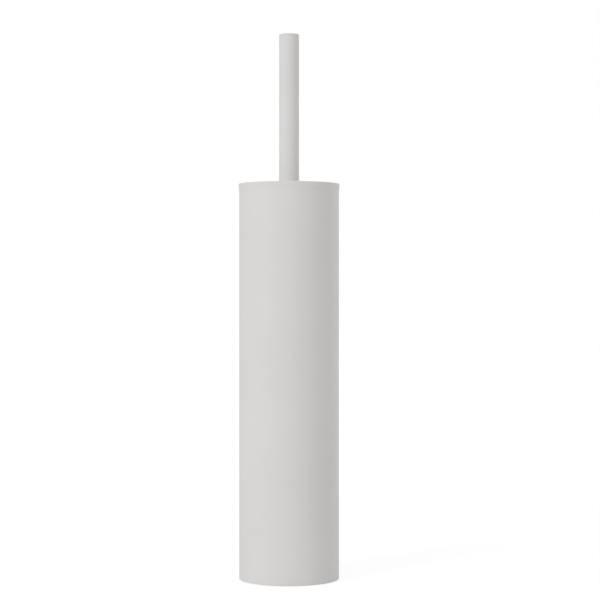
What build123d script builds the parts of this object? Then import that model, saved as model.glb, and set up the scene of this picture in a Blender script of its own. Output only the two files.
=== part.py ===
from build123d import *
import os
from math import cos, radians, sin, sqrt, tan

# Free-standing toilet brush set: a slim powder-coated holder tube with a weighted base, a lift-out
# plastic liner that stands in it on the ballast, and a brush whose lid drops into the tube's mouth.
# Millimetres, +Z up, with the origin on the floor under the middle of the holder.

# Holder tube
tube_diameter = 76.0
tube_wall = 1.5
tube_length = 300.0
tube_edge_fillet = 0.25
edge_share = 0.4  # the most of the tube's wall that one rounded edge may take
tube_foot_fillet = 0.3  # outside, along the lower edge
mouth_flare = 0.4  # the mouth is swaged out by this much to take the lid
mouth_height = 2.0  # straight stretch of the swaged mouth
mouth_taper = 4.4  # height over which the tube widens into it
foot_reveal = 0.5  # the foot stands this far below the tube's lower edge

# Base plate, foot and ballast
base_thickness = 3.0
weld_gap = 0.05
foot_thickness = 2.6
foot_inset = 2.5  # from the tube's bore to the foot's rim
foot_band = 16.0
foot_edge_chamfer = 0.3
foot_groove_count = 2
foot_groove_width = 2.0
foot_groove_depth = 0.6
ballast_height = 13.0
ballast_side_gap = 2.5
ballast_chamfer = 1.0

# Countersunk screws that hold the ballast on the base plate
screw_count = 3
screw_circle_radius = 11.0
screw_diameter = 4.0
screw_head_diameter = 8.0
screw_head_angle = 90.0
screw_length = 12.0
screw_hole_gap = 0.25  # radial play of a screw in the base plate
screw_key_flats = 2.5
screw_key_depth = 1.4
thread_gap = 0.05  # radial play between a screw thread and its tapped hole

# Liner
liner_side_gap = 0.9  # between liner and tube, at the rim
liner_draft = 1.6  # loss of radius from the rim down to the floor
liner_wall = 1.6
liner_floor = 2.0
liner_floor_gap = 1.4  # between the liner's underside and the ballast
liner_corner_radius = 6.0
liner_foot_inset = 3.0  # from the start of the rounded corner to the foot rib under the floor
liner_foot_width = 2.0
flange_thickness = 1.2
flange_edge_fillet = 0.3
flange_gap = 0.3  # radial play of the liner's flange in the tube

# Lid and gasket
lid_gap = 0.4  # radial play of the lid in the tube's mouth
lid_sink = 0.2  # the lid's top face lies this far below the tube's rim
lid_plate = 2.0
lid_edge_fillet = 0.4
gasket_thickness = 1.3
gasket_edge_gap = 0.4
spigot_depth = 3.5
spigot_wall = 1.4
spigot_gap = 0.5  # radial play of the lid's spigot in the liner's mouth
spigot_chamfer = 0.5
boss_diameter = 24.0

# Handle
handle_diameter = 15.2
handle_wall = 1.5
handle_reach = 114.2  # from the lid's top face to the end of the handle
handle_end_chamfer = 0.2
handle_washer_thickness = 0.8
handle_washer_inset = 0.3
cap_thickness = 1.6
cap_edge_fillet = 0.4
cap_plug_length = 8.0
press_gap = 0.03
insert_length = 20.0

# Shaft and the washers that clamp the lid
shaft_diameter = 10.0
shaft_end_chamfer = 0.5
stud_diameter = 8.0
stud_hole_gap = 0.2
upper_stud_engagement = 16.0
clamp_washer_diameter = 16.0
clamp_washer_thickness = 1.6
lock_washer_diameter = 14.8
lock_washer_thickness = 2.0
lock_washer_slit = 1.2

# Brush head
head_washer_diameter = 14.0
head_washer_thickness = 1.0
head_thread_pitch = 1.25
head_thread_turns = 8
head_insert_wall = 2.0
head_insert_floor_gap = 2.0
core_diameter = 24.0
sleeve_wall = 2.0
neck_height = 8.0
neck_collar = 2.0
tip_pin_diameter = 10.0
tip_pin_length = 6.0
tip_gap = 12.0  # from the lowest bristle to the liner's floor
tip_reach = 24.0  # from the middle of the rounded end to the lowest bristle
bristle_side_gap = 2.4  # from the bristles' ends to the liner's wall

# Bristles, drawn as a few thick strands in each tuft
row_count = 7
row_pitch = 8.0
tufts_per_row = 10
tip_rings = [(0.0, 1), (27.0, 6), (54.0, 9), (79.0, 11)]  # angle from straight down, tufts in that ring
strand_width = 0.7
strand_spacing = 1.2
strand_root = 1.2  # depth of a strand's root in the plastic
tuft_spread = 9.0  # lean of a tuft's outer strands, in degrees

# Heights, from the floor up
tube_bottom = foot_reveal
tube_top = tube_bottom + tube_length
mouth_bottom = tube_top - mouth_height
taper_bottom = mouth_bottom - mouth_taper
base_bottom = foot_thickness
base_top = base_bottom + base_thickness
ballast_top = base_top + ballast_height
liner_bottom = ballast_top + liner_floor_gap
liner_floor_top = liner_bottom + liner_floor
lid_top = tube_top - lid_sink
plate_bottom = lid_top - lid_plate
gasket_bottom = plate_bottom - gasket_thickness
flange_top = gasket_bottom
flange_bottom = flange_top - flange_thickness
spigot_bottom = plate_bottom - spigot_depth
handle_bottom = lid_top + handle_washer_thickness
handle_top = lid_top + handle_reach
cap_bottom = handle_top - cap_thickness
clamp_washer_bottom = spigot_bottom - clamp_washer_thickness
shaft_top = clamp_washer_bottom - lock_washer_thickness
dome_centre = liner_floor_top + tip_gap + tip_reach
sleeve_top = dome_centre + row_count * row_pitch
core_top = sleeve_top + neck_height
shaft_bottom = core_top + head_washer_thickness
head_travel = head_thread_pitch * head_thread_turns  # the way down as the head is unscrewed

# Radii, from the outside in
tube_radius = tube_diameter / 2
bore_radius = tube_radius - tube_wall
base_radius = bore_radius - weld_gap
foot_radius = bore_radius - foot_inset
ballast_radius = bore_radius - ballast_side_gap
lid_radius = bore_radius + mouth_flare - lid_gap
flange_radius = bore_radius - flange_gap
liner_rim_radius = bore_radius - liner_side_gap
liner_foot_radius = liner_rim_radius - liner_draft
liner_rib_radius = liner_foot_radius - liner_corner_radius - liner_foot_inset
mouth_radius = liner_rim_radius - liner_wall  # inside the liner, at its rim
sump_radius = liner_foot_radius - liner_wall  # inside the liner, at its floor
spigot_radius = mouth_radius - spigot_gap
gasket_inner_radius = spigot_radius + gasket_edge_gap
gasket_outer_radius = lid_radius - gasket_edge_gap
handle_radius = handle_diameter / 2
handle_bore_radius = handle_radius - handle_wall
plug_radius = handle_bore_radius - press_gap
shaft_radius = shaft_diameter / 2
stud_radius = stud_diameter / 2
stud_hole_radius = stud_radius + stud_hole_gap
tapped_radius = stud_radius + thread_gap
core_radius = core_diameter / 2
spindle_radius = core_radius - sleeve_wall - press_gap
head_insert_radius = tapped_radius + head_insert_wall
brush_radius = sump_radius - bristle_side_gap

os.makedirs("parts", exist_ok=True)


def save(piece, name):
    """Labels a finished piece and writes it to its own file."""
    piece.part.label = name
    export_step(piece.part, f"parts/{name}.step")


def ring(inner, outer, bottom, height):
    """Adds a flat ring to the part being built."""
    with BuildSketch(Plane.XY.offset(bottom)) as flat_ring:
        Circle(outer)
        Circle(inner, mode=Mode.SUBTRACT)
    extrude(flat_ring.sketch, amount=height)


# Holder tube, open at both ends, with a swaged mouth, broken edges and a foot rounded on the outside
with BuildPart() as outer_tube:
    with BuildSketch(Plane.XZ):
        with BuildLine():
            Polyline(
                (bore_radius, tube_bottom),
                (tube_radius, tube_bottom),
                (tube_radius, taper_bottom),
                (tube_radius + mouth_flare, mouth_bottom),
                (tube_radius + mouth_flare, tube_top),
                (bore_radius + mouth_flare, tube_top),
                (bore_radius + mouth_flare, mouth_bottom),
                (bore_radius, taper_bottom),
                close=True,
            )
        make_face()
    revolve(axis=Axis.Z)
    rims = outer_tube.edges().filter_by(GeomType.CIRCLE).group_by(Axis.Z)
    fillet(rims[-1] + rims[0].sort_by(SortBy.RADIUS)[:1], min(tube_edge_fillet, edge_share * tube_wall))
    lower_rims = outer_tube.edges().filter_by(GeomType.CIRCLE).group_by(Axis.Z)[0]
    fillet(lower_rims.sort_by(SortBy.RADIUS)[-1], min(tube_foot_fillet, edge_share * tube_wall))
save(outer_tube, "outer_tube")

# Base plate, welded inside the foot of the tube, countersunk from below for the ballast screws
with BuildPart() as base_plate:
    with BuildSketch(Plane.XY.offset(base_bottom)):
        Circle(base_radius)
    extrude(amount=base_thickness)
    with Locations(Plane((0, 0, base_bottom), x_dir=(1, 0, 0), z_dir=(0, 0, -1))):
        with PolarLocations(screw_circle_radius, screw_count):
            CounterSinkHole(
                screw_diameter / 2 + screw_hole_gap,
                screw_head_diameter / 2 + screw_hole_gap,
                counter_sink_angle=screw_head_angle,
            )
save(base_plate, "base_plate")

# Soft foot ring, bonded under the base plate, with shallow grip grooves in its sole
with BuildPart() as foot_ring:
    ring(foot_radius - foot_band, foot_radius, 0, foot_thickness)
    chamfer(foot_ring.edges().group_by(Axis.Z)[0], foot_edge_chamfer)
    groove_pitch = foot_band / (foot_groove_count + 1)
    with BuildSketch():
        for groove in range(foot_groove_count):
            groove_radius = foot_radius - groove_pitch * (groove + 1)
            Circle(groove_radius + foot_groove_width / 2)
            Circle(groove_radius - foot_groove_width / 2, mode=Mode.SUBTRACT)
    extrude(amount=foot_groove_depth, mode=Mode.SUBTRACT)
save(foot_ring, "foot_ring")

# Ballast disc on the base plate, with a tapped hole for each screw
screw_tip = base_bottom + screw_length
with BuildPart() as ballast_disc:
    with BuildSketch(Plane.XY.offset(base_top)):
        Circle(ballast_radius)
    extrude(amount=ballast_height)
    chamfer(ballast_disc.edges(), ballast_chamfer)
    with Locations((0, 0, base_top)):
        with PolarLocations(screw_circle_radius, screw_count):
            Cylinder(
                screw_diameter / 2 + thread_gap,
                screw_tip - base_top + screw_diameter / 2,
                align=(Align.CENTER, Align.CENTER, Align.MIN),
                mode=Mode.SUBTRACT,
            )
save(ballast_disc, "ballast_disc")

# One countersunk screw, head down, standing on the axis
screw_head_height = (screw_head_diameter - screw_diameter) / 2 / tan(radians(screw_head_angle / 2))
with BuildPart() as screw:
    with BuildSketch(Plane.XZ):
        with BuildLine():
            Polyline(
                (0, base_bottom),
                (screw_head_diameter / 2, base_bottom),
                (screw_diameter / 2, base_bottom + screw_head_height),
                (screw_diameter / 2, screw_tip),
                (0, screw_tip),
                close=True,
            )
        make_face()
    revolve(axis=Axis.Z)
    with BuildSketch(Plane.XY.offset(base_bottom)):
        RegularPolygon(screw_key_flats / 2, 6, major_radius=False)
    extrude(amount=screw_key_depth, mode=Mode.SUBTRACT)

with BuildPart() as ballast_screws:
    with PolarLocations(screw_circle_radius, screw_count):
        add(screw.part)
save(ballast_screws, "ballast_screws")

# Liner: a deep drafted cup that stands on a rib under its floor, with a flange that centres its rim
with BuildPart() as liner_cup:
    with BuildSketch(Plane.XZ) as liner_section:
        with BuildLine():
            Polyline(
                (0, liner_bottom),
                (liner_foot_radius, liner_bottom),
                (liner_rim_radius, flange_bottom),
                (flange_radius, flange_bottom),
                (flange_radius, flange_top),
                (mouth_radius, flange_top),
                (sump_radius, liner_floor_top),
                (0, liner_floor_top),
                close=True,
            )
        make_face()
        # The inside of the floor's corner, its outside, and the flange's upper edge
        inner_radius = liner_corner_radius - liner_wall
        for level, rounding in ((1, inner_radius), (0, liner_corner_radius), (-1, flange_edge_fillet)):
            fillet(liner_section.vertices().group_by(Axis.Y)[level].sort_by(Axis.X)[-1], rounding)
    revolve(axis=Axis.Z)
    ring(liner_rib_radius - liner_foot_width, liner_rib_radius, ballast_top, liner_floor_gap)
save(liner_cup, "liner_cup")

# Lid: a plate that fills the tube's mouth, with a spigot in the liner and a clamping boss
with BuildPart() as lid:
    with BuildSketch(Plane.XZ) as lid_section:
        with BuildLine():
            Polyline(
                (stud_hole_radius, spigot_bottom),
                (boss_diameter / 2, spigot_bottom),
                (boss_diameter / 2, plate_bottom),
                (spigot_radius - spigot_wall, plate_bottom),
                (spigot_radius - spigot_wall, spigot_bottom),
                (spigot_radius, spigot_bottom),
                (spigot_radius, plate_bottom),
                (lid_radius, plate_bottom),
                (lid_radius, lid_top),
                (stud_hole_radius, lid_top),
                close=True,
            )
        make_face()
        fillet(lid_section.vertices().group_by(Axis.X)[-1].sort_by(Axis.Y)[-1], lid_edge_fillet)
        spigot_foot = lid_section.vertices().group_by(Axis.Y)[0].sort_by(Axis.X)[-1]
        chamfer(spigot_foot, spigot_chamfer)
    revolve(axis=Axis.Z)
save(lid, "lid")

# Silicone gasket under the lid, which lands on the liner's flange
with BuildPart() as lid_gasket:
    ring(gasket_inner_radius, gasket_outer_radius, gasket_bottom, gasket_thickness)
save(lid_gasket, "lid_gasket")

# Thin washer that keeps the handle off the lid's coating
with BuildPart() as handle_washer:
    ring(stud_hole_radius, handle_radius - handle_washer_inset, lid_top, handle_washer_thickness)
save(handle_washer, "handle_washer")

# Handle tube
with BuildPart() as handle_tube:
    ring(handle_bore_radius, handle_radius, handle_bottom, cap_bottom - handle_bottom)
    rims = handle_tube.edges().filter_by(GeomType.CIRCLE).sort_by(SortBy.RADIUS)
    chamfer(rims[-2:], handle_end_chamfer)
save(handle_tube, "handle_tube")

# End cap, pressed into the top of the handle tube
with BuildPart() as handle_end_cap:
    with BuildSketch(Plane.XY.offset(cap_bottom)):
        Circle(handle_radius)
    extrude(amount=cap_thickness)
    fillet(handle_end_cap.edges().sort_by(Axis.Z)[-1], cap_edge_fillet)
    chamfer(handle_end_cap.edges().sort_by(Axis.Z)[0], handle_end_chamfer)
    with BuildSketch(Plane.XY.offset(cap_bottom)):
        Circle(plug_radius)
    extrude(amount=-cap_plug_length)
save(handle_end_cap, "handle_end_cap")

# Threaded insert, pressed into the foot of the handle tube
with BuildPart() as handle_insert:
    ring(tapped_radius, plug_radius, handle_bottom, insert_length)
save(handle_insert, "handle_insert")

# Shaft: a round bar turned down to a stud at each end
with BuildPart() as shaft:
    with BuildSketch(Plane.XY.offset(shaft_bottom)):
        Circle(shaft_radius)
    extrude(amount=shaft_top - shaft_bottom)
    chamfer(shaft.edges().filter_by(GeomType.CIRCLE), shaft_end_chamfer)
    upper_stud_top = handle_bottom + upper_stud_engagement
    lower_stud_bottom = core_top - head_travel
    for stud_foot, stud_end, end in ((shaft_top, upper_stud_top, -1), (shaft_bottom, lower_stud_bottom, 0)):
        with BuildSketch(Plane.XY.offset(stud_foot)):
            Circle(stud_radius)
        extrude(amount=stud_end - stud_foot)
        chamfer(shaft.edges().filter_by(GeomType.CIRCLE).sort_by(Axis.Z)[end], shaft_end_chamfer)
save(shaft, "shaft")

# Flat washer under the lid's boss
with BuildPart() as clamp_washer:
    ring(stud_hole_radius, clamp_washer_diameter / 2, clamp_washer_bottom, clamp_washer_thickness)
save(clamp_washer, "clamp_washer")

# Split spring washer between the flat washer and the shaft's shoulder
with BuildPart() as lock_washer:
    ring(stud_hole_radius, lock_washer_diameter / 2, shaft_top, lock_washer_thickness)
    with Locations((0, 0, shaft_top)):
        Box(
            lock_washer_diameter,
            lock_washer_slit,
            lock_washer_thickness,
            align=(Align.MIN, Align.CENTER, Align.MIN),
            mode=Mode.SUBTRACT,
        )
save(lock_washer, "lock_washer")

# Sealing washer between the shaft's lower shoulder and the brush head
with BuildPart() as head_washer:
    ring(stud_hole_radius, head_washer_diameter / 2, core_top, head_washer_thickness)
save(head_washer, "head_washer")

# Core of the brush head: a spindle with a collar, a tapered neck and a pocket for the insert
insert_pocket_bottom = core_top - head_travel - head_insert_floor_gap
with BuildPart() as brush_core:
    with BuildSketch(Plane.XZ):
        with BuildLine():
            Polyline(
                (0, dome_centre),
                (spindle_radius, dome_centre),
                (spindle_radius, sleeve_top),
                (core_radius, sleeve_top),
                (core_radius, sleeve_top + neck_collar),
                (head_washer_diameter / 2, core_top),
                (0, core_top),
                close=True,
            )
        make_face()
    revolve(axis=Axis.Z)
    with BuildSketch(Plane.XY.offset(core_top)):
        Circle(head_insert_radius + press_gap)
    extrude(amount=insert_pocket_bottom - core_top, mode=Mode.SUBTRACT)
    with BuildSketch(Plane.XY.offset(dome_centre)):
        Circle(tip_pin_diameter / 2 + press_gap)
    extrude(amount=tip_pin_length, mode=Mode.SUBTRACT)
save(brush_core, "brush_core")

# Threaded insert in the top of the core
with BuildPart() as head_insert:
    ring(tapped_radius, head_insert_radius, insert_pocket_bottom, core_top - insert_pocket_bottom)
save(head_insert, "head_insert")


def tuft_strands(root, along, across, up):
    """Gives the middle strand of a tuft and the four that lean out round it, as (root, direction) pairs."""
    lean = tan(radians(tuft_spread))
    strands = [(root, along)]
    for side in (across, -across, up, -up):
        strands.append((root + side * strand_spacing, (along + side * lean).normalized()))
    return strands


def length_to_cylinder(root, direction, radius):
    """Length of a strand that ends on an upright cylinder of that radius."""
    a = direction.X**2 + direction.Y**2
    b = root.X * direction.X + root.Y * direction.Y
    c = root.X**2 + root.Y**2 - radius**2
    return (sqrt(b * b - a * c) - b) / a


def length_to_dome(root, direction, radius, height):
    """Length of a strand that ends on an ellipsoid about the dome's centre."""
    wide, deep = radius**2, height**2
    drop = root.Z - dome_centre
    a = (direction.X**2 + direction.Y**2) / wide + direction.Z**2 / deep
    b = (root.X * direction.X + root.Y * direction.Y) / wide + drop * direction.Z / deep
    c = (root.X**2 + root.Y**2) / wide + drop**2 / deep - 1
    return (sqrt(b * b - a * c) - b) / a


def add_strands(strands):
    """Fuses square strands, given as (root, direction, length), to the part being built."""
    on_root = (Align.CENTER, Align.CENTER, Align.MIN)
    places = [Plane(root, z_dir=direction).location for root, direction, length in strands]
    shapes = [
        Box(strand_width, strand_width, length, align=on_root, mode=Mode.PRIVATE)
        for root, direction, length in strands
    ]
    add([shape.moved(place) for shape, place in zip(shapes, places)])


# Sleeve round the core with the side bristles, in staggered rows
side_strands = []
for row in range(row_count):
    height = dome_centre + (row + 0.5) * row_pitch
    for tuft in range(tufts_per_row):
        angle = radians(360 / tufts_per_row * (tuft + row % 2 / 2))
        outward = Vector(cos(angle), sin(angle), 0)
        sideways = Vector(-sin(angle), cos(angle), 0)
        tuft_root = outward * (core_radius - strand_root) + Vector(0, 0, height)
        for root, direction in tuft_strands(tuft_root, outward, sideways, Vector(0, 0, 1)):
            side_strands.append((root, direction, length_to_cylinder(root, direction, brush_radius)))

with BuildPart() as bristle_sleeve:
    ring(core_radius - sleeve_wall, core_radius, dome_centre, sleeve_top - dome_centre)
    add_strands(side_strands)
save(bristle_sleeve, "bristle_sleeve")

# Rounded end of the head with its bristles, pinned into the core
tip_strands = []
for tip_angle, tufts in tip_rings:
    polar = radians(tip_angle)
    for tuft in range(tufts):
        angle = radians(360 / tufts * tuft)
        flat = Vector(cos(angle), sin(angle), 0)
        outward = flat * sin(polar) - Vector(0, 0, cos(polar))
        upward = flat * cos(polar) + Vector(0, 0, sin(polar))
        sideways = Vector(-sin(angle), cos(angle), 0)
        tuft_root = outward * (core_radius - strand_root) + Vector(0, 0, dome_centre)
        for root, direction in tuft_strands(tuft_root, outward, sideways, upward):
            tip_strands.append((root, direction, length_to_dome(root, direction, brush_radius, tip_reach)))

with BuildPart() as bristle_tip:
    with BuildSketch(Plane.XZ):
        with BuildLine():
            Line((0, dome_centre), (core_radius, dome_centre))
            RadiusArc((core_radius, dome_centre), (0, dome_centre - core_radius), core_radius)
            Line((0, dome_centre - core_radius), (0, dome_centre))
        make_face()
    revolve(axis=Axis.Z)
    with BuildSketch(Plane.XY.offset(dome_centre)):
        Circle(tip_pin_diameter / 2)
    extrude(amount=tip_pin_length)
    add_strands(tip_strands)
save(bristle_tip, "bristle_tip")
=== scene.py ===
import math
import random

import bmesh
import bpy
from mathutils import Matrix, Vector


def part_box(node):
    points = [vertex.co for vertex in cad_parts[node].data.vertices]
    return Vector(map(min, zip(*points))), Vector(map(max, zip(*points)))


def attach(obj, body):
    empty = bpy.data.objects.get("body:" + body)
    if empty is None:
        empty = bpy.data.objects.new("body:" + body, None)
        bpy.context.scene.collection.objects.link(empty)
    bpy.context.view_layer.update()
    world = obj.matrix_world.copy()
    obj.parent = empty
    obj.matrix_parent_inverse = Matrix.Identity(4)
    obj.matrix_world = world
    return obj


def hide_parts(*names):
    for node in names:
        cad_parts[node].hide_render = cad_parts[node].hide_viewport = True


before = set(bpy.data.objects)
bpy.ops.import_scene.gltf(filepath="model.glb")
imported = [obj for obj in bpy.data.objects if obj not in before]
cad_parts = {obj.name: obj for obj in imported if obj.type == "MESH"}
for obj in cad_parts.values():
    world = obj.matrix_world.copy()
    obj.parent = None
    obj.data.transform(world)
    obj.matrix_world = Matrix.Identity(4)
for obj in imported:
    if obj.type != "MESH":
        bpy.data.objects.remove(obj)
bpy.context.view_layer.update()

# Holder tube: a 76 mm welded steel tube with a 1.5 mm wall, cut square, rounded over along its foot
# and swaged out a little at its mouth to take the lid.
# It is powder coated inside and out in a matte, light warm grey.
MM = 0.001
tube_low, tube_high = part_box("outer_tube")
tube_wall = 1.5 * MM
mouth_flare = 0.4 * MM
mouth_height = 2.0 * MM
mouth_taper = 4.4 * MM
rim_edge = 0.25 * MM
foot_edge = 0.3 * MM
swage_bend = 22 * MM
mouth_radius = tube_high.x
tube_radius = mouth_radius - mouth_flare
mouth_low = tube_high.z - mouth_height
swage_low = mouth_low - mouth_taper


def section(corners, steps=6, hold=0.2 * MM):
    """Rounds the corners of a turned section, given as (radius, height, rounding) in order.

    Points beside each rounding hold the long faces flat when they are shaded smooth.
    """
    points = []
    for i, (radius, height, rounding) in enumerate(corners):
        corner = Vector((radius, height))
        if rounding == 0:
            points.append(corner)
            continue
        back = Vector(corners[i - 1][:2]) - corner
        onward = Vector(corners[(i + 1) % len(corners)][:2]) - corner
        half = back.angle(onward) / 2
        tangent = rounding / math.tan(half)
        inward = (back.normalized() + onward.normalized()).normalized()
        centre = corner + inward * (rounding / math.sin(half))
        start = corner + back.normalized() * tangent - centre
        sweep = math.pi - 2 * half
        if back.cross(onward) > 0:
            sweep = -sweep
        if back.length > 2 * tangent + 2 * hold:
            points.append(centre + start + back.normalized() * hold)
        for step in range(steps + 1):
            points.append(centre + Matrix.Rotation(sweep * step / steps, 2) @ start)
        if onward.length > 2 * tangent + 2 * hold:
            points.append(corner + onward.normalized() * (tangent + hold))
    return [(point.x, point.y) for point in points]


tube_section = section([
    (tube_radius - tube_wall, tube_low.z, rim_edge),
    (tube_radius, tube_low.z, foot_edge),
    (tube_radius, swage_low, swage_bend),
    (mouth_radius, mouth_low, swage_bend),
    (mouth_radius, tube_high.z, rim_edge),
    (mouth_radius - tube_wall, tube_high.z, rim_edge),
    (mouth_radius - tube_wall, mouth_low, swage_bend),
    (tube_radius - tube_wall, swage_low, swage_bend),
])


def put(tree, kind, inputs=None, **settings):
    """Adds a node. An input that is another node's socket is linked, and any other is set."""
    made = tree.nodes.new(kind)
    for name, value in settings.items():
        setattr(made, name, value)
    for key, value in (inputs or {}).items():
        if isinstance(value, bpy.types.NodeSocket):
            tree.links.new(value, made.inputs[key])
        else:
            made.inputs[key].default_value = value
    return made


def new_finish(name, **plain):
    """A new material, with its plain numbers set on the shader's own sockets."""
    finish = bpy.data.materials.new(name)
    finish.use_nodes = True
    into = finish.node_tree.nodes["Principled BSDF"].inputs
    for socket, value in plain.items():
        into[socket.replace("_", " ")].default_value = value
    return finish, finish.node_tree, into


def own_place(tree):
    """The piece's own coordinates."""
    return put(tree, "ShaderNodeTexCoord").outputs["Object"]


def noise(tree, place, size, detail=2, roughness=0.5):
    """Noise with features of about that size in metres."""
    return put(tree, "ShaderNodeTexNoise", {
        "Vector": place, "Scale": 1 / size, "Detail": detail, "Roughness": roughness,
    }).outputs["Fac"]


def spread(tree, value, low, high):
    """Spreads the middle of some noise over a range of plain numbers."""
    noise_low, noise_high = 0.3, 0.7
    return put(tree, "ShaderNodeMapRange", {
        "Value": value, "From Min": noise_low, "From Max": noise_high, "To Min": low, "To Max": high,
    }).outputs["Result"]


def blended(tree, share, dark, light):
    """Blends from a dark to a light colour. The Mix node tells its colour sockets by number."""
    first, second, result = 6, 7, 2
    return put(tree, "ShaderNodeMix", {
        "Factor": share, first: (*dark, 1), second: (*light, 1),
    }, data_type="RGBA").outputs[result]


def shades(tree, value, dark, light):
    """Drifts with some noise between two close colours of one finish."""
    return blended(tree, spread(tree, value, low=0.0, high=1.0), dark, light)


def dress(tree, into, colour, roughness, bumps):
    """Feeds a colour, a roughness and bumps, each on top of the one before, to the shader."""
    tree.links.new(colour, into["Base Color"])
    tree.links.new(roughness, into["Roughness"])
    onto = into["Normal"]
    for bump in reversed(bumps):
        raised = put(tree, "ShaderNodeBump", bump)
        tree.links.new(raised.outputs["Normal"], onto)
        onto = raised.inputs["Normal"]


coat, tree, into = new_finish("powder_coat_warm_grey", IOR=1.5, Specular_IOR_Level=0.3)
place = own_place(tree)
drift = noise(tree, place, size=60 * MM, detail=3)
peel = noise(tree, place, size=0.9 * MM)
grit = noise(tree, place, size=0.22 * MM, detail=1)
dress(tree, into,
      colour=shades(tree, drift, dark=(0.650, 0.638, 0.625), light=(0.670, 0.658, 0.645)),
      roughness=spread(tree, peel, low=0.60, high=0.70),
      bumps=[dict(Height=peel, Distance=0.05 * MM, Strength=0.5),
             dict(Height=grit, Distance=0.02 * MM, Strength=0.6)])


def stand(name, data):
    """Puts a new object into the scene, at the origin and unturned."""
    thing = bpy.data.objects.new(name, data)
    bpy.context.scene.collection.objects.link(thing)
    return thing


def turned(name, points, segments, finish, slit=0.0):
    """Turns a section into a round piece. A radius may be a function of the angle.

    A slit, given as an angle, leaves a gap in the ring at angle 0 and closes both of its ends.
    """
    verts, rows = [], []
    steps = segments + 1 if slit else segments
    for radius, height in points:
        if radius == 0:
            rows.append([len(verts)])
            verts.append((0, 0, height))
            continue
        row = []
        for step in range(steps):
            angle = slit / 2 + (2 * math.pi - slit) * step / segments
            out = radius(angle) if callable(radius) else radius
            row.append(len(verts))
            verts.append((out * math.cos(angle), out * math.sin(angle), height))
        rows.append(row)
    faces = []
    for i, high in enumerate(rows):
        low = rows[i - 1]
        if len(low) == 1 and len(high) == 1:
            continue
        for step in range(segments):
            after = (step + 1) % steps
            quad = [low[step % len(low)], low[after % len(low)],
                    high[after % len(high)], high[step % len(high)]]
            faces.append(list(dict.fromkeys(quad)))
    if slit:
        faces.append([row[0] for row in rows])
        faces.append([row[-1] for row in rows])
    mesh = bpy.data.meshes.new(name)
    mesh.from_pydata(verts, [], faces)
    shell = bmesh.new()
    shell.from_mesh(mesh)
    bmesh.ops.recalc_face_normals(shell, faces=shell.faces)
    shell.to_mesh(mesh)
    shell.free()
    mesh.shade_smooth()
    sharp_edge = math.radians(32)
    mesh.set_sharp_from_angle(angle=sharp_edge)
    mesh.materials.append(finish)
    return stand(name, mesh)


holder_tube = turned("holder_tube", tube_section, segments=192, finish=coat)
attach(holder_tube, "holder")
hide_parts("outer_tube")

# Base plate: a laser-cut steel disc, welded inside the foot of the tube and coated with it.
# Three countersunk holes take the screws that hold the ballast.
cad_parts["base_plate"].material_slots[0].material = coat

# Foot ring: a moulded rubber ring, bonded under the base plate, which keeps steel off the floor.
# Two shallow ring grooves in its sole help it to grip a wet floor.
foot_low, foot_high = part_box("foot_ring")
foot_radius = foot_high.x
foot_band = 16 * MM
foot_chamfer = 0.3 * MM
groove_count = 2
groove_width = 2 * MM
groove_edge = 0.15 * MM
groove_top = foot_low.z + 0.6 * MM
sole = [(foot_radius - foot_band, foot_high.z, 0), (foot_radius - foot_band, foot_low.z, foot_chamfer)]
for groove in reversed(range(groove_count)):
    middle = foot_radius - foot_band / (groove_count + 1) * (groove + 1)
    for side, height in ((-1, foot_low.z), (-1, groove_top), (1, groove_top), (1, foot_low.z)):
        sole.append((middle + side * groove_width / 2, height, groove_edge))
sole += [(foot_radius, foot_low.z, foot_chamfer), (foot_radius, foot_high.z, 0)]

rubber, tree, into = new_finish("foot_rubber_black", IOR=1.5)
place = own_place(tree)
bloom = noise(tree, place, size=9 * MM, detail=4)
pebble = noise(tree, place, size=0.35 * MM)
dress(tree, into,
      colour=shades(tree, bloom, dark=(0.035, 0.035, 0.036), light=(0.060, 0.060, 0.060)),
      roughness=spread(tree, bloom, low=0.72, high=0.88),
      bumps=[dict(Height=pebble, Distance=0.03 * MM, Strength=0.5)])

foot = turned("foot_ring_rubber", section(sole, steps=3, hold=0.1 * MM), segments=128, finish=rubber)
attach(foot, "holder")
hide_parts("foot_ring")

# Ballast disc: a grey iron disc with turned faces and broken edges, oiled black against rust.
# It lies on the base plate, low in the tube, and keeps the slim holder from tipping.
ballast_low, ballast_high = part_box("ballast_disc")
ballast_radius = ballast_high.x
ballast_edge = 1 * MM
burr_round = 0.2 * MM
ballast_section = section([
    (0, ballast_low.z, 0),
    (ballast_radius - ballast_edge, ballast_low.z, burr_round),
    (ballast_radius, ballast_low.z + ballast_edge, burr_round),
    (ballast_radius, ballast_high.z - ballast_edge, burr_round),
    (ballast_radius - ballast_edge, ballast_high.z, burr_round),
    (0, ballast_high.z, 0),
], steps=3)


def number_sum(tree, operation, *values):
    """A sum on plain numbers, worked out in a node tree."""
    return put(tree, "ShaderNodeMath", dict(enumerate(values)), operation=operation).outputs["Value"]


def vector_sum(tree, operation, *values, gives="Vector"):
    """A sum on vectors, worked out in a node tree, which gives a vector or a plain value."""
    return put(tree, "ShaderNodeVectorMath", dict(enumerate(values)), operation=operation).outputs[gives]


def tool_marks(tree, place, pitch):
    """Fine rings left by a lathe tool, as a height from 0 to 1."""
    flat = vector_sum(tree, "MULTIPLY", place, (1, 1, 0))
    from_axis = vector_sum(tree, "LENGTH", flat, gives="Value")
    height = put(tree, "ShaderNodeSeparateXYZ", {"Vector": place}).outputs["Z"]
    tool_path = number_sum(tree, "ADD", from_axis, height)
    wave = number_sum(tree, "SINE", number_sum(tree, "MULTIPLY", tool_path, 2 * math.pi / pitch))
    return number_sum(tree, "MULTIPLY_ADD", wave, 0.5, 0.5)


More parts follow.
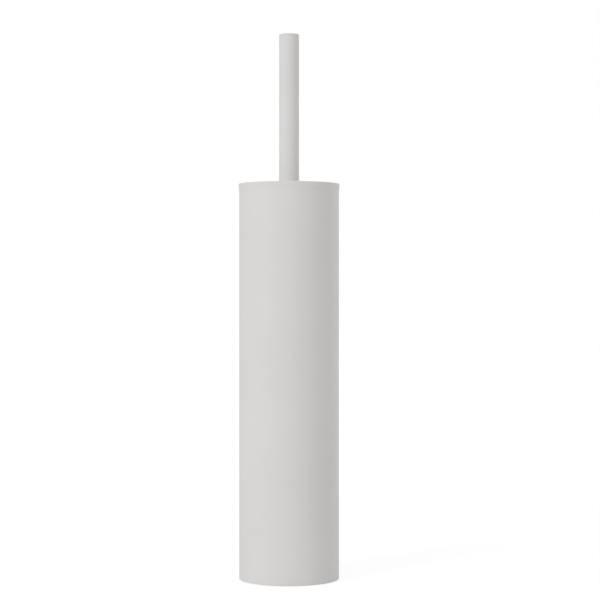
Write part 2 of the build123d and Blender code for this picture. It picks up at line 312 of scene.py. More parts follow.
iron, tree, into = new_finish("ballast_iron_turned", Metallic=1.0)
place = own_place(tree)
mottle = noise(tree, place, size=6 * MM, detail=5, roughness=0.6)
marks = tool_marks(tree, place, pitch=0.5 * MM)
dress(tree, into,
      colour=shades(tree, mottle, dark=(0.055, 0.054, 0.053), light=(0.125, 0.122, 0.118)),
      roughness=spread(tree, mottle, low=0.42, high=0.62),
      bumps=[dict(Height=marks, Distance=0.02 * MM, Strength=0.4),
             dict(Height=mottle, Distance=0.05 * MM, Strength=0.25)])

ballast = turned("ballast_disc_iron", ballast_section, segments=128, finish=iron)
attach(ballast, "holder")
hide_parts("ballast_disc")

# Ballast screws: three zinc-plated M4 countersunk screws with hexagon sockets.
# They go up through the base plate, heads flush below it, into tapped holes in the ballast.
screw_low, screw_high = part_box("ballast_screws")
screw_count = 3
screw_circle = 11 * MM
head_radius = 4 * MM
head_edge = 0.15 * MM
edge_drop = 0.1 * MM
shank_radius = 2 * MM
shank_low = screw_low.z + head_radius - shank_radius
screw_pitch = 0.7 * MM
screw_cut = 0.38 * MM
screw_rings_per_turn = 6
socket_flats = 2.5 * MM
socket_floor = screw_low.z + 1.4 * MM
drill_flats = 2.0 * MM
drill_point = 0.3 * MM


def threaded(crest, cut, pitch, heights):
    """Rings of a right-hand thread at these heights, each radius a function of the angle."""
    crest_share, flank_share = 0.15, 0.65

    def radius_at(height):
        def radius(angle):
            from_crest = abs(2 * ((height / pitch - angle / (2 * math.pi)) % 1) - 1)
            return crest - cut * min(max((from_crest - crest_share) / flank_share, 0), 1)
        return radius
    return [(radius_at(height), height) for height in heights]


def hexagon(flats):
    """The radius of a hexagon, as a function of the angle."""
    def radius(angle):
        return flats / 2 / math.cos((angle + math.pi / 6) % (math.pi / 3) - math.pi / 6)
    return radius


thread_low, thread_high = shank_low + screw_pitch, screw_high.z - screw_pitch
ring_step = screw_pitch / screw_rings_per_turn
ring_count = math.ceil((thread_high - thread_low) / ring_step)
ring_heights = [thread_low + ring_step * i for i in range(ring_count)]
screw_section = [
    (0, socket_floor + drill_point),
    (hexagon(drill_flats), socket_floor),
    (hexagon(socket_flats), socket_floor),
    (hexagon(socket_flats), screw_low.z + edge_drop),
    (hexagon(socket_flats + 2 * edge_drop), screw_low.z),
    (head_radius - head_edge, screw_low.z),
    (head_radius, screw_low.z + edge_drop),
    (shank_radius, shank_low),
    *threaded(shank_radius, screw_cut, screw_pitch, ring_heights),
    (shank_radius - screw_cut, screw_high.z),
    (0, screw_high.z),
]

zinc, tree, into = new_finish("zinc_plated_steel", Metallic=1.0)
place = own_place(tree)
plating = noise(tree, place, size=3 * MM, detail=4)
haze = noise(tree, place, size=0.3 * MM)
dress(tree, into,
      colour=shades(tree, plating, dark=(0.50, 0.515, 0.545), light=(0.62, 0.615, 0.60)),
      roughness=spread(tree, haze, low=0.26, high=0.40),
      bumps=[dict(Height=haze, Distance=0.01 * MM, Strength=0.4)])


def new_pattern(name, **inputs):
    """A new geometry tree, and the values that come in through its named inputs."""
    pattern = bpy.data.node_groups.new(name, "GeometryNodeTree")
    for label, kind in inputs.items():
        label = label.replace("_", " ")
        pattern.interface.new_socket(label, in_out="INPUT", socket_type="NodeSocket" + kind)
    pattern.interface.new_socket("Geometry", in_out="OUTPUT", socket_type="NodeSocketGeometry")
    return pattern, put(pattern, "NodeGroupInput").outputs


def end_pattern(pattern, made, finish):
    """Ends a geometry tree with one real mesh in one finish."""
    joined = put(pattern, "GeometryNodeRealizeInstances", {"Geometry": made}).outputs["Geometry"]
    dressed = put(pattern, "GeometryNodeSetMaterial", {"Geometry": joined, "Material": finish})
    put(pattern, "NodeGroupOutput", {"Geometry": dressed.outputs["Geometry"]})


def grown(name, start, pattern, **values):
    """Runs a geometry tree on a starting mesh and keeps the result as a plain mesh."""
    piece = stand(name, start)
    growth = piece.modifiers.new("growth", "NODES")
    growth.node_group = pattern
    for label, value in values.items():
        socket = pattern.interface.items_tree[label.replace("_", " ")]
        growth[socket.identifier] = value
    view = bpy.context.evaluated_depsgraph_get()
    plain = bpy.data.meshes.new_from_object(
        piece.evaluated_get(view), preserve_all_data_layers=True, depsgraph=view)
    piece.modifiers.clear()
    piece.data = plain
    plain.name = name
    return piece


one_screw = turned("one_screw", screw_section, segments=24, finish=zinc)
pattern, given = new_pattern(
    "screws_on_a_circle", Screw="Object", Screws="Int", Circle_radius="Float", Finish="Material")
circle = put(pattern, "GeometryNodeMeshCircle", {
    "Vertices": given["Screws"], "Radius": given["Circle radius"]})
screw_shape = put(pattern, "GeometryNodeObjectInfo", {"Object": given["Screw"]})
placed = put(pattern, "GeometryNodeInstanceOnPoints", {
    "Points": circle.outputs["Mesh"], "Instance": screw_shape.outputs["Geometry"]})
end_pattern(pattern, placed.outputs["Instances"], given["Finish"])
screws = grown("ballast_screws_zinc", bpy.data.meshes.new("screws_start"), pattern,
               Screw=one_screw, Screws=screw_count, Circle_radius=screw_circle, Finish=zinc)
bpy.data.objects.remove(one_screw)
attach(screws, "holder")
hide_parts("ballast_screws")

# Liner cup: a deep injection-moulded polypropylene cup with a little draft and a rounded floor.
# It stands on a rib under its floor, a flange centres its rim in the tube, and it lifts out.
liner_low, liner_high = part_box("liner_cup")
liner_draft = 1.6 * MM
liner_wall = 1.6 * MM
liner_floor = 2.0 * MM
corner_round = 6 * MM
flange_overhang = 0.6 * MM
flange_low = liner_high.z - 1.2 * MM
flange_root = 0.25 * MM
flange_edge = 0.15 * MM
lip_round = 0.3 * MM
rib_radius = 25 * MM
rib_width = 2 * MM
rib_height = 1.4 * MM
rib_round = 0.2 * MM
gate_radius = 2.5 * MM
gate_depth = 0.4 * MM
gate_slope = 0.3 * MM
gate_round = 0.1 * MM
flange_radius = liner_high.x
rim_radius = flange_radius - flange_overhang
floor_radius = rim_radius - liner_draft
underside = liner_low.z + rib_height
liner_section = section([
    (0, underside + gate_depth, 0),
    (gate_radius, underside + gate_depth, gate_round),
    (gate_radius + gate_slope, underside, rib_round),
    (rib_radius - rib_width, underside, rib_round),
    (rib_radius - rib_width, liner_low.z, rib_round),
    (rib_radius, liner_low.z, rib_round),
    (rib_radius, underside, rib_round),
    (floor_radius, underside, corner_round),
    (rim_radius, flange_low, flange_root),
    (flange_radius, flange_low, flange_edge),
    (flange_radius, liner_high.z, lip_round),
    (rim_radius - liner_wall, liner_high.z, lip_round),
    (floor_radius - liner_wall, underside + liner_floor, corner_round - liner_wall),
    (0, underside + liner_floor, 0),
], steps=8)


def milky(weight, depth):
    """Sockets of a plastic that lets some light in, to about that depth."""
    return dict(Subsurface_Weight=weight, Subsurface_Radius=(1, 1, 1), Subsurface_Scale=depth)


liner_plastic, tree, into = new_finish("liner_polypropylene", IOR=1.49, **milky(weight=0.12, depth=2 * MM))
place = own_place(tree)
drawn_out = put(tree, "ShaderNodeMapping", {"Vector": place, "Scale": (1, 1, 0.12)}).outputs["Vector"]
flow = noise(tree, drawn_out, size=14 * MM, detail=3)
satin = noise(tree, place, size=0.3 * MM)
dress(tree, into,
      colour=shades(tree, flow, dark=(0.70, 0.70, 0.69), light=(0.745, 0.745, 0.735)),
      roughness=spread(tree, flow, low=0.36, high=0.46),
      bumps=[dict(Height=satin, Distance=0.012 * MM, Strength=0.35)])

liner = turned("liner_cup_moulded", liner_section, segments=160, finish=liner_plastic)
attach(liner, "liner")
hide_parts("liner_cup")

# Lid: a turned steel lid, coated like the tube, which drops into its mouth and lies level with its rim.
# A spigot centres it in the liner, and a boss in the middle is drilled for the shaft's stud.
lid_low, lid_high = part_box("lid")
lid_radius = lid_high.x
lid_round = 0.4 * MM
plate_low = lid_high.z - 2 * MM
plate_edge = 0.15 * MM
inner_round = 0.4 * MM
stud_hole = 4.2 * MM
boss_radius = 12 * MM
boss_edge = 0.2 * MM
spigot_gap = 0.5 * MM
spigot_wall = 1.4 * MM
spigot_lead = 0.5 * MM
spigot_root = 0.1 * MM
spigot_radius = rim_radius - liner_wall - spigot_gap
spigot_inner = spigot_radius - spigot_wall
lid = turned("lid_coated", section([
    (stud_hole, lid_low.z, 0),
    (boss_radius, lid_low.z, boss_edge),
    (boss_radius, plate_low, inner_round),
    (spigot_inner, plate_low, inner_round),
    (spigot_inner, lid_low.z, boss_edge),
    (spigot_radius, lid_low.z, spigot_lead),
    (spigot_radius, plate_low, spigot_root),
    (lid_radius, plate_low, plate_edge),
    (lid_radius, lid_high.z, lid_round),
    (stud_hole, lid_high.z, 0),
]), segments=192, finish=coat)
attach(lid, "brush")
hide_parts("lid")

# Lid gasket: a moulded silicone ring, fitted round the spigot under the lid.
# It lands on the liner's flange, so the lid closes softly and doesn't chip its coating.
gasket_low, gasket_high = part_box("lid_gasket")
gasket_inner = spigot_radius + 0.4 * MM
gasket_edge = 0.3 * MM


def flat_ring(inner, outer, low, high, edge):
    """The corners of a flat ring's section, all rounded alike."""
    return [(inner, low, edge), (outer, low, edge), (outer, high, edge), (inner, high, edge)]


gasket_corners = flat_ring(gasket_inner, gasket_high.x, gasket_low.z, gasket_high.z, gasket_edge)

silicone, tree, into = new_finish("silicone_grey", IOR=1.43, **milky(weight=0.1, depth=1 * MM))
place = own_place(tree)
cloud = noise(tree, place, size=5 * MM, detail=3)
matt = noise(tree, place, size=0.25 * MM)
dress(tree, into,
      colour=shades(tree, cloud, dark=(0.38, 0.38, 0.372), light=(0.44, 0.44, 0.43)),
      roughness=spread(tree, cloud, low=0.55, high=0.68),
      bumps=[dict(Height=matt, Distance=0.01 * MM, Strength=0.4)])

gasket = turned("lid_gasket_silicone", section(gasket_corners, steps=4), segments=128, finish=silicone)
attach(gasket, "brush")
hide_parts("lid_gasket")

# Shaft: a 10 mm stainless bar, ground round, with an M8 stud turned and threaded on each end.
# The upper stud passes through the lid into the handle, and the lower one takes the brush head.
shaft_low, shaft_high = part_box("shaft")
bar_low, bar_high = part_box("head_washer")[1].z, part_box("lock_washer")[0].z
bar_radius = shaft_high.x
bar_edge = 0.5 * MM
stud_radius = 4 * MM
stud_pitch = 1.25 * MM
stud_cut = 0.68 * MM
stud_root = stud_radius - stud_cut
stud_rings_per_turn = 10
stud_lead = 0.5 * MM
undercut = 1.0 * MM
plain_neck = 0.7 * MM


def evenly(first, last, spacing):
    """Heights from the first to the last, in even steps of about that spacing."""
    steps = round(abs(last - first) / spacing)
    return [first + (last - first) * i / steps for i in range(steps + 1)]


def stud_thread(low, high):
    """The threaded stretch of a stud."""
    heights = evenly(low, high, stud_pitch / stud_rings_per_turn)
    return threaded(stud_radius, stud_cut, stud_pitch, heights)


shaft_section = [
    (0, shaft_low.z),
    (stud_root, shaft_low.z),
    *stud_thread(shaft_low.z + stud_lead, bar_low - undercut),
    (stud_root, bar_low - plain_neck),
    (stud_root, bar_low),
    (bar_radius - bar_edge, bar_low),
    (bar_radius, bar_low + bar_edge),
    (bar_radius, bar_low + 2 * bar_edge),
    (bar_radius, bar_high - 2 * bar_edge),
    (bar_radius, bar_high - bar_edge),
    (bar_radius - bar_edge, bar_high),
    (stud_root, bar_high),
    (stud_root, bar_high + plain_neck),
    *stud_thread(bar_high + undercut, shaft_high.z - stud_lead),
    (stud_root, shaft_high.z),
    (0, shaft_high.z),
]

steel, tree, into = new_finish("ground_stainless", Metallic=1.0)
place = own_place(tree)
ground = put(tree, "ShaderNodeMapping", {"Vector": place, "Scale": (0.04, 0.04, 1)}).outputs["Vector"]
lines = noise(tree, ground, size=0.12 * MM, detail=3, roughness=0.6)
patch = noise(tree, place, size=25 * MM)
dress(tree, into,
      colour=shades(tree, patch, dark=(0.56, 0.555, 0.545), light=(0.62, 0.617, 0.61)),
      roughness=spread(tree, lines, low=0.22, high=0.36),
      bumps=[dict(Height=lines, Distance=0.006 * MM, Strength=0.5)])

shaft = turned("shaft_bar", shaft_section, segments=48, finish=steel)
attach(shaft, "brush")
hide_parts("shaft")

# Clamp and lock washers: an M8 flat washer and a split spring washer, stamped and zinc plated.
# The shaft's shoulder pulls them up against the lid's boss when the handle is screwed on.
washer_hole = 4.2 * MM
washer_edge = 0.2 * MM
slit_width = 1.2 * MM
slit_radius = 5.8 * MM


def washer(name, node, edge, segments, finish, slit=0.0):
    """A flat ring that fills a washer's place. A slit is on X, so the full radius is read along Y."""
    low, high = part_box(node)
    corners = flat_ring(washer_hole, high.y, low.z, high.z, edge)
    return turned(name, section(corners, steps=3, hold=0.1 * MM), segments, finish, slit)


clamp = washer("clamp_washer_zinc", "clamp_washer", washer_edge, segments=64, finish=zinc)
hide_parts("clamp_washer")
lock = washer("lock_washer_zinc", "lock_washer", washer_edge, segments=64, finish=zinc,
              slit=slit_width / slit_radius)
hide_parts("lock_washer")
for ring in (clamp, lock):
    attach(ring, "brush")

# Handle washer: a thin nylon washer, stamped from sheet, between the handle and the lid.
# It keeps the two coated faces from grinding on each other.
spacer_edge = 0.15 * MM

nylon, tree, into = new_finish("washer_nylon_grey", IOR=1.53)
place = own_place(tree)
fleck = noise(tree, place, size=1.5 * MM, detail=3)
dress(tree, into,
      colour=shades(tree, fleck, dark=(0.50, 0.495, 0.48), light=(0.56, 0.555, 0.54)),
      roughness=spread(tree, fleck, low=0.5, high=0.6),
      bumps=[dict(Height=fleck, Distance=0.01 * MM, Strength=0.3)])

spacer = washer("handle_washer_nylon", "handle_washer", spacer_edge, segments=96, finish=nylon)
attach(spacer, "brush")
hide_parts("handle_washer")

# Handle tube and cap: a 15 mm steel tube, coated like the holder, and a turned cap.
# The cap's plug is pressed into the top of the tube, so only a fine seam shows between them.
handle_low, handle_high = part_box("handle_tube")
cap_low, cap_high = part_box("handle_end_cap")
press_gap = 0.03 * MM
plug_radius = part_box("handle_insert")[1].x
plug_edge = 0.4 * MM
handle_radius = handle_high.x
handle_bore = plug_radius + press_gap
handle_edge = 0.2 * MM
seam_edge = 0.07 * MM
cap_round = 0.4 * MM
handle = turned("handle_tube_coated", section([
    (handle_bore, handle_low.z, 0),
    (handle_radius, handle_low.z, handle_edge),
    (handle_radius, handle_high.z, seam_edge),
    (handle_bore, handle_high.z, 0),
]), segments=96, finish=coat)
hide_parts("handle_tube")
cap = turned("handle_cap_coated", section([
    (0, cap_low.z, 0),
    (plug_radius, cap_low.z, plug_edge),
    (plug_radius, handle_high.z, 0),
    (handle_radius, handle_high.z, seam_edge),
    (handle_radius, cap_high.z, cap_round),
    (0, cap_high.z, 0),
]), segments=96, finish=coat)
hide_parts("handle_end_cap")
for piece in (handle, cap):
    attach(piece, "brush")

# Handle insert: a turned brass sleeve with an M8 thread, pressed into the foot of the handle.
# It screws down on the shaft's upper stud and clamps the lid between handle and shaft.
insert_bore = 4.05 * MM
insert_cut = 0.5 * MM
insert_edge = 0.2 * MM
insert_rings_per_turn = 8

brass, tree, into = new_finish("turned_brass", Metallic=1.0)
place = own_place(tree)
tarnish = noise(tree, place, size=4 * MM, detail=4)
marks = tool_marks(tree, place, pitch=0.3 * MM)
dress(tree, into,
      colour=shades(tree, tarnish, dark=(0.66, 0.46, 0.19), light=(0.78, 0.57, 0.27)),
      roughness=spread(tree, tarnish, low=0.24, high=0.38),
      bumps=[dict(Height=marks, Distance=0.008 * MM, Strength=0.4)])


def threaded_insert(name, node):
    """A brass sleeve that fills an insert's place, with a thread cut through it."""
    low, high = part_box(node)
    outer, root = high.x, insert_bore + insert_cut
    heights = evenly(high.z, low.z, stud_pitch / insert_rings_per_turn)
    return turned(name, [
        (root, low.z),
        (outer - insert_edge, low.z),
        (outer, low.z + insert_edge),
        (outer, high.z - insert_edge),
        (outer - insert_edge, high.z),
        (root, high.z),
        *threaded(root, insert_cut, stud_pitch, heights[1:-1]),
    ], segments=48, finish=brass)


insert = threaded_insert("handle_insert_brass", "handle_insert")
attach(insert, "brush")
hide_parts("handle_insert")

# Head washer: a soft silicone washer on the lower stud, squeezed between shaft and brush head.
# It seals the thread and stops the head from working loose.
seal_edge = 0.3 * MM
seal = washer("head_washer_silicone", "head_washer", seal_edge, segments=64, finish=silicone)
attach(seal, "head_seal")
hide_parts("head_washer")

# Brush core: a moulded polypropylene spindle with a collar, a tapered neck and a brass insert
# moulded into its top, which screws up on the shaft's lower stud.
core_low, core_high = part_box("brush_core")
insert_low, insert_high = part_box("head_insert")
core_radius = core_high.x
sleeve_wall = 2 * MM
sleeve_edge = 0.2 * MM
spindle_radius = core_radius - sleeve_wall - press_gap
pin_radius = 5 * MM
pin_high = core_low.z + 6 * MM
neck_radius = 7 * MM
neck_round = 0.5 * MM
sleeve_top = core_high.z - 8 * MM
collar_top = sleeve_top + 2 * MM
collar_round = 0.8 * MM
core_section = section([
    (0, pin_high, 0),
    (pin_radius + press_gap, pin_high, 0),
    (pin_radius + press_gap, core_low.z, 0),
    (spindle_radius, core_low.z, 0),
    (spindle_radius, sleeve_top, 0),
    (core_radius, sleeve_top, sleeve_edge),
    (core_radius, collar_top, collar_round),
    (neck_radius, core_high.z, neck_round),
    (insert_high.x + press_gap, core_high.z, 0),
    (insert_high.x + press_gap, insert_low.z, 0),
    (0, insert_low.z, 0),
])

core_plastic, tree, into = new_finish("core_polypropylene", IOR=1.49, **milky(weight=0.1, depth=2 * MM))
place = own_place(tree)
flow = noise(tree, place, size=8 * MM, detail=3)
satin = noise(tree, place, size=0.3 * MM)
dress(tree, into,
      colour=shades(tree, flow, dark=(0.60, 0.60, 0.59), light=(0.65, 0.65, 0.64)),
      roughness=spread(tree, flow, low=0.38, high=0.48),
      bumps=[dict(Height=satin, Distance=0.012 * MM, Strength=0.35)])

core = turned("brush_core_moulded", core_section, segments=96, finish=core_plastic)
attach(core, "brush_head")
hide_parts("brush_core")
head_insert = threaded_insert("head_insert_brass", "head_insert")
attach(head_insert, "brush_head")
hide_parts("head_insert")

# Bristle sleeve and rounded end: two mouldings of the core's plastic, drilled for the tufts.
# The sleeve slides over the core, and a pin on the rounded end is pressed into its foot.
dome_steps = 16
dome_arc = [math.pi / 2 * i / dome_steps for i in range(1, dome_steps)]
sleeve = turned("bristle_sleeve_moulded", section([
    (core_radius - sleeve_wall, core_low.z, 0),
    (core_radius, core_low.z, 0),
    (core_radius, sleeve_top, sleeve_edge),
    (core_radius - sleeve_wall, sleeve_top, 0),
]), segments=96, finish=core_plastic)
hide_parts("bristle_sleeve")
dome = turned("bristle_dome_moulded", [
    (0, core_low.z - core_radius),
    *[(core_radius * math.sin(angle), core_low.z - core_radius * math.cos(angle)) for angle in dome_arc],
    (core_radius, core_low.z),
    (pin_radius, core_low.z),
    (pin_radius, pin_high),
    (0, pin_high),
], segments=96, finish=core_plastic)
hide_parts("bristle_tip")
for piece in (sleeve, dome):
    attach(piece, "brush_head")

# Bristles: bunches of white nylon filaments, folded into the holes of the sleeve and the rounded end.
# Each tuft opens towards its tips, and all are trimmed to the outline of the brush.
brush_radius = 30 * MM
tip_reach = 24 * MM
root_depth = 1.2 * MM
row_count = 9
row_pitch = (sleeve_top - core_low.z) / row_count
tufts_per_row = 12
tufts_at_degrees_from_pole = {0: 1, 21: 6, 41: 10, 61: 12, 80: 12}

filament, tree, into = new_finish(
    "bristle_nylon_white", IOR=1.53, Roughness=0.38, **milky(weight=0.8, depth=0.8 * MM))
tone = put(tree, "ShaderNodeAttribute", attribute_name="tone").outputs["Fac"]
white = blended(tree, tone, dark=(0.88, 0.88, 0.865), light=(0.96, 0.96, 0.95))
tree.links.new(white, into["Base Color"])

tufts, given = new_pattern(
    "tufts_of_filaments", Anchors="Geometry", Filaments="Int", Filament_radius="Float",
    Tuft_radius="Float", Lean="Float", Stray="Float", Bow="Float", Ragged="Float",
    Trim="Vector", Trim_centre="Vector", Seed="Int", Finish="Material")


def sums(operation, *values):
    """A sum on plain numbers in the tuft tree."""
    return number_sum(tufts, operation, *values)


def vectors(operation, *values):
    """A sum on vectors in the tuft tree."""
    return vector_sum(tufts, operation, *values)


def dot(one, other):
    """The dot product of two vectors."""
    return vector_sum(tufts, "DOT_PRODUCT", one, other, gives="Value")


def scaled(vector, by):
    """A vector times a number."""
    times = put(tufts, "ShaderNodeVectorMath", {0: vector, "Scale": by}, operation="SCALE")
    return times.outputs["Vector"]


def read(name, kind="FLOAT_VECTOR"):
    """A value that was stored on the points."""
    stored = put(tufts, "GeometryNodeInputNamedAttribute", {"Name": name}, data_type=kind)
    return stored.outputs["Attribute"]


def chance(seed_step):
    """A random number from 0 to 1 for each filament. The node tells its sockets by number."""
    lowest, highest, result = 2, 3, 1
    seed = sums("ADD", given["Seed"], seed_step)
    return put(tufts, "FunctionNodeRandomValue", {
        lowest: 0.0, highest: 1.0, "Seed": seed}, data_type="FLOAT").outputs[result]


def chance_vector(seed_step):
    """A random vector, from -1 to 1 each way, for each filament."""
    lowest, highest, result = 0, 1, 0
    seed = sums("ADD", given["Seed"], seed_step)
    return put(tufts, "FunctionNodeRandomValue", {
        lowest: (-1, -1, -1), highest: (1, 1, 1), "Seed": seed}, data_type="FLOAT_VECTOR").outputs[result]


# Each hole gets one point for each filament, set out evenly over the tuft by the golden angle.
holes = put(tufts, "GeometryNodeMeshToPoints", {"Mesh": given["Anchors"]})
bunch = put(tufts, "GeometryNodeDuplicateElements", {
    "Geometry": holes.outputs["Points"], "Amount": given["Filaments"]}, domain="POINT")
number = bunch.outputs["Duplicate Index"]
golden_angle = math.pi * (3 - math.sqrt(5))
out_from_middle = sums("SQRT", sums("DIVIDE", sums("ADD", number, 0.5), given["Filaments"]))
round_middle = sums("ADD", sums("MULTIPLY", number, golden_angle), read("spin", "FLOAT"))
aside = vectors("ADD", scaled(read("sideways"), sums("COSINE", round_middle)),
                scaled(read("upward"), sums("SINE", round_middle)))
aside = scaled(aside, out_from_middle)

# A filament leans away from the middle of its tuft, and strays a little.
here = put(tufts, "GeometryNodeInputPosition").outputs["Position"]
root = vectors("ADD", here, scaled(aside, given["Tuft radius"]))
leaning = vectors("ADD", read("outward"), scaled(aside, given["Lean"]))
aim = vectors("NORMALIZE", vectors("ADD", leaning, scaled(chance_vector(1), given["Stray"])))

# It reaches to the trim, an ellipsoid about the Trim centre whose half axes are in Trim, or just short.
start = vectors("DIVIDE", vectors("SUBTRACT", root, given["Trim centre"]), given["Trim"])
course = vectors("DIVIDE", aim, given["Trim"])
along, across = dot(course, course), dot(start, course)
within = sums("SUBTRACT", dot(start, start), 1.0)
to_trim = sums("SQRT", sums("SUBTRACT", sums("MULTIPLY", across, across), sums("MULTIPLY", along, within)))
to_trim = sums("DIVIDE", sums("SUBTRACT", to_trim, across), along)
reach = sums("SUBTRACT", to_trim, sums("MULTIPLY", chance(2), given["Ragged"]))
bow = scaled(chance_vector(3), given["Bow"])
flowing = bunch.outputs["Geometry"]
for name, kind, value in (("root", "FLOAT_VECTOR", root), ("aim", "FLOAT_VECTOR", aim),
                          ("reach", "FLOAT", reach), ("bow", "FLOAT_VECTOR", bow),
                          ("tone", "FLOAT", chance(4))):
    flowing = put(tufts, "GeometryNodeStoreNamedAttribute", {
        "Geometry": flowing, "Name": name, "Value": value,
    }, data_type=kind, domain="POINT").outputs["Geometry"]

# A short line on each point is drawn out along its filament, bowed towards the tip, and made a wire.
filament_points, filament_sides, short_line = 4, 5, 10 * MM
line = put(tufts, "GeometryNodeCurvePrimitiveLine", {"End": (0, 0, short_line)})
line = put(tufts, "GeometryNodeResampleCurve", {"Curve": line.outputs["Curve"], "Count": filament_points})
planted = put(tufts, "GeometryNodeInstanceOnPoints", {
    "Points": flowing, "Instance": line.outputs["Curve"]})
loose = put(tufts, "GeometryNodeRealizeInstances", {"Geometry": planted.outputs["Instances"]})
part_way = put(tufts, "GeometryNodeSplineParameter").outputs["Factor"]
straight = scaled(read("aim"), sums("MULTIPLY", read("reach", "FLOAT"), part_way))
bent = scaled(read("bow"), sums("MULTIPLY", part_way, part_way))
drawn = put(tufts, "GeometryNodeSetPosition", {
    "Geometry": loose.outputs["Geometry"],
    "Position": vectors("ADD", vectors("ADD", read("root"), straight), bent)})
round_wire = put(tufts, "GeometryNodeCurvePrimitiveCircle", {
    "Resolution": filament_sides, "Radius": given["Filament radius"]})
wire = put(tufts, "GeometryNodeCurveToMesh", {
    "Curve": drawn.outputs["Geometry"], "Profile Curve": round_wire.outputs["Curve"], "Fill Caps": True})
end_pattern(tufts, wire.outputs["Mesh"], given["Finish"])


def tuft_hole(height, angle, polar):
    """The root of a tuft, its way out and the way sideways. The polar angle is from straight down."""
    level, drop = math.sin(polar), math.cos(polar)
    outward = Vector((level * math.cos(angle), level * math.sin(angle), -drop))
    sideways = Vector((-math.sin(angle), math.cos(angle), 0))
    return outward * (core_radius - root_depth) + Vector((0, 0, height)), outward, sideways


def tuft_anchors(name, holes, seed):
    """A mesh of points, one in each tuft hole, with the tuft's directions stored on it."""
    mesh = bpy.data.meshes.new(name)
    mesh.from_pydata([spot for spot, outward, sideways in holes], [], [])
    spins = random.Random(seed)
    for label in ("outward", "sideways", "upward"):
        mesh.attributes.new(label, "FLOAT_VECTOR", "POINT")
    mesh.attributes.new("spin", "FLOAT", "POINT")
    for i, (spot, outward, sideways) in enumerate(holes):
        mesh.attributes["outward"].data[i].vector = outward
        mesh.attributes["sideways"].data[i].vector = sideways
        mesh.attributes["upward"].data[i].vector = outward.cross(sideways)
        mesh.attributes["spin"].data[i].value = spins.uniform(0, 2 * math.pi)
    return mesh


side_holes = []
for row in range(row_count):
    height = core_low.z + (row + 0.5) * row_pitch
    for tuft in range(tufts_per_row):
        angle = 2 * math.pi / tufts_per_row * (tuft + row % 2 / 2)
        side_holes.append(tuft_hole(height, angle, polar=math.pi / 2))
tip_holes = []
for degrees, count in tufts_at_degrees_from_pole.items():
    for tuft in range(count):
        angle = 2 * math.pi / count * tuft
        tip_holes.append(tuft_hole(core_low.z, angle, polar=math.radians(degrees)))

# The side's ellipsoid is so tall, in metres, that it trims the side straight.
straight_up = 100.0
shared = dict(Filaments=26, Filament_radius=0.2 * MM, Tuft_radius=1.5 * MM, Lean=0.24, Stray=0.035,
              Bow=0.9 * MM, Ragged=0.5 * MM, Trim_centre=(0, 0, core_low.z), Finish=filament)
side_bristles = grown("bristles_side", tuft_anchors("side_holes", side_holes, seed=3), tufts,
                      Trim=(brush_radius, brush_radius, straight_up), Seed=11, **shared)
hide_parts("bristle_sleeve")
tip_bristles = grown("bristles_tip", tuft_anchors("tip_holes", tip_holes, seed=5), tufts,
                     Trim=(brush_radius, brush_radius, tip_reach), Seed=23, **shared)
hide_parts("bristle_tip")
for piece in (side_bristles, tip_bristles):
    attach(piece, "brush_head")


# Studio: a pale floor that runs out to white, an even white surround, a broad soft key light from the
# front left and a weak one from behind on the right, which lifts that edge off the shade.
# The camera stands level with the upper half of the tube, a little to its right.
def lit_and_seen(tree, light, sight, output):
    """Gives one shader to the rays that carry light, and the other to those that see the surround."""
    path = put(tree, "ShaderNodeLightPath").outputs
    sees = number_sum(tree, "MAXIMUM", path["Is Camera Ray"], path["Is Glossy Ray"])
    sees = number_sum(tree, "MAXIMUM", sees, path["Is Transmission Ray"])
    mixed = put(tree, "ShaderNodeMixShader", {0: sees, 1: light.outputs[0], 2: sight.outputs[0]})
    put(tree, output, {"Surface": mixed.outputs[0]})


def grey(level):
    """A neutral colour of that level."""
    return level, level, level, 1


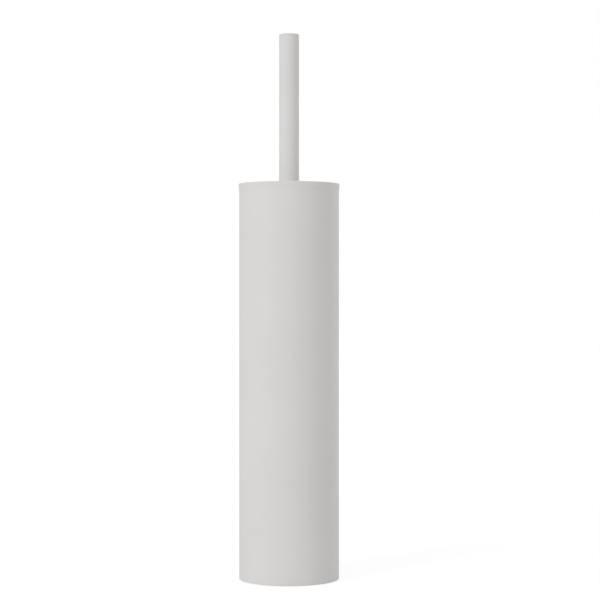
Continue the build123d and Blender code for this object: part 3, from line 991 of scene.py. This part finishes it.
surround = bpy.data.worlds.new("surround")
bpy.context.scene.world = surround
surround.use_nodes = True
tree = surround.node_tree
tree.nodes.clear()
glow = put(tree, "ShaderNodeBackground", {"Color": grey(1), "Strength": 0.69})
backdrop = put(tree, "ShaderNodeBackground", {"Color": grey(1), "Strength": 1.0})
lit_and_seen(tree, glow, backdrop, "ShaderNodeOutputWorld")

paper = bpy.data.materials.new("studio_paper")
paper.use_nodes = True
tree = paper.node_tree
tree.nodes.clear()
paper_bounce = put(tree, "ShaderNodeBsdfDiffuse", {"Color": grey(0.8)})
paper_shade = put(tree, "ShaderNodeBsdfDiffuse", {"Color": grey(0.20)})
paper_white = put(tree, "ShaderNodeEmission", {"Color": grey(1), "Strength": 0.835})
paper_seen = put(tree, "ShaderNodeAddShader", {0: paper_shade.outputs[0], 1: paper_white.outputs[0]})
lit_and_seen(tree, paper_bounce, paper_seen, "ShaderNodeOutputMaterial")
floor_reach = 12.0
floor_corners = [(x * floor_reach, y * floor_reach, 0) for x, y in ((-1, -1), (1, -1), (1, 1), (-1, 1))]
floor_mesh = bpy.data.meshes.new("studio_floor")
floor_mesh.from_pydata(floor_corners, [], [(0, 1, 2, 3)])
floor_mesh.materials.append(paper)
floor = stand("studio_floor", floor_mesh)


def soft_light(name, strength, softness, side, height):
    """A far lamp. Its softness, its side from the front and its height are angles in degrees."""
    lamp = stand(name, bpy.data.lights.new(name, "SUN"))
    lamp.data.energy = strength
    lamp.data.angle = math.radians(softness)
    side, height = math.radians(side), math.radians(height)
    level = math.cos(height)
    towards = Vector((math.sin(side) * level, -math.cos(side) * level, math.sin(height)))
    lamp.rotation_euler = towards.to_track_quat("Z", "Y").to_euler()


soft_light("key_light", strength=1.16, softness=25, side=-43, height=30)
soft_light("rim_light", strength=0.48, softness=60, side=140, height=20)

camera_right, camera_front, camera_height = 8.3 * MM, 1333 * MM, 212.3 * MM
camera = stand("camera", bpy.data.cameras.new("camera"))
camera.data.lens = 105.0
camera.data.sensor_width = 36.0
camera.data.clip_end = 100
camera.location = (camera_right, -camera_front, camera_height)
camera.rotation_euler = (math.radians(90), 0, 0)
bpy.context.scene.camera = camera
bpy.context.scene.view_settings.view_transform = "Standard"
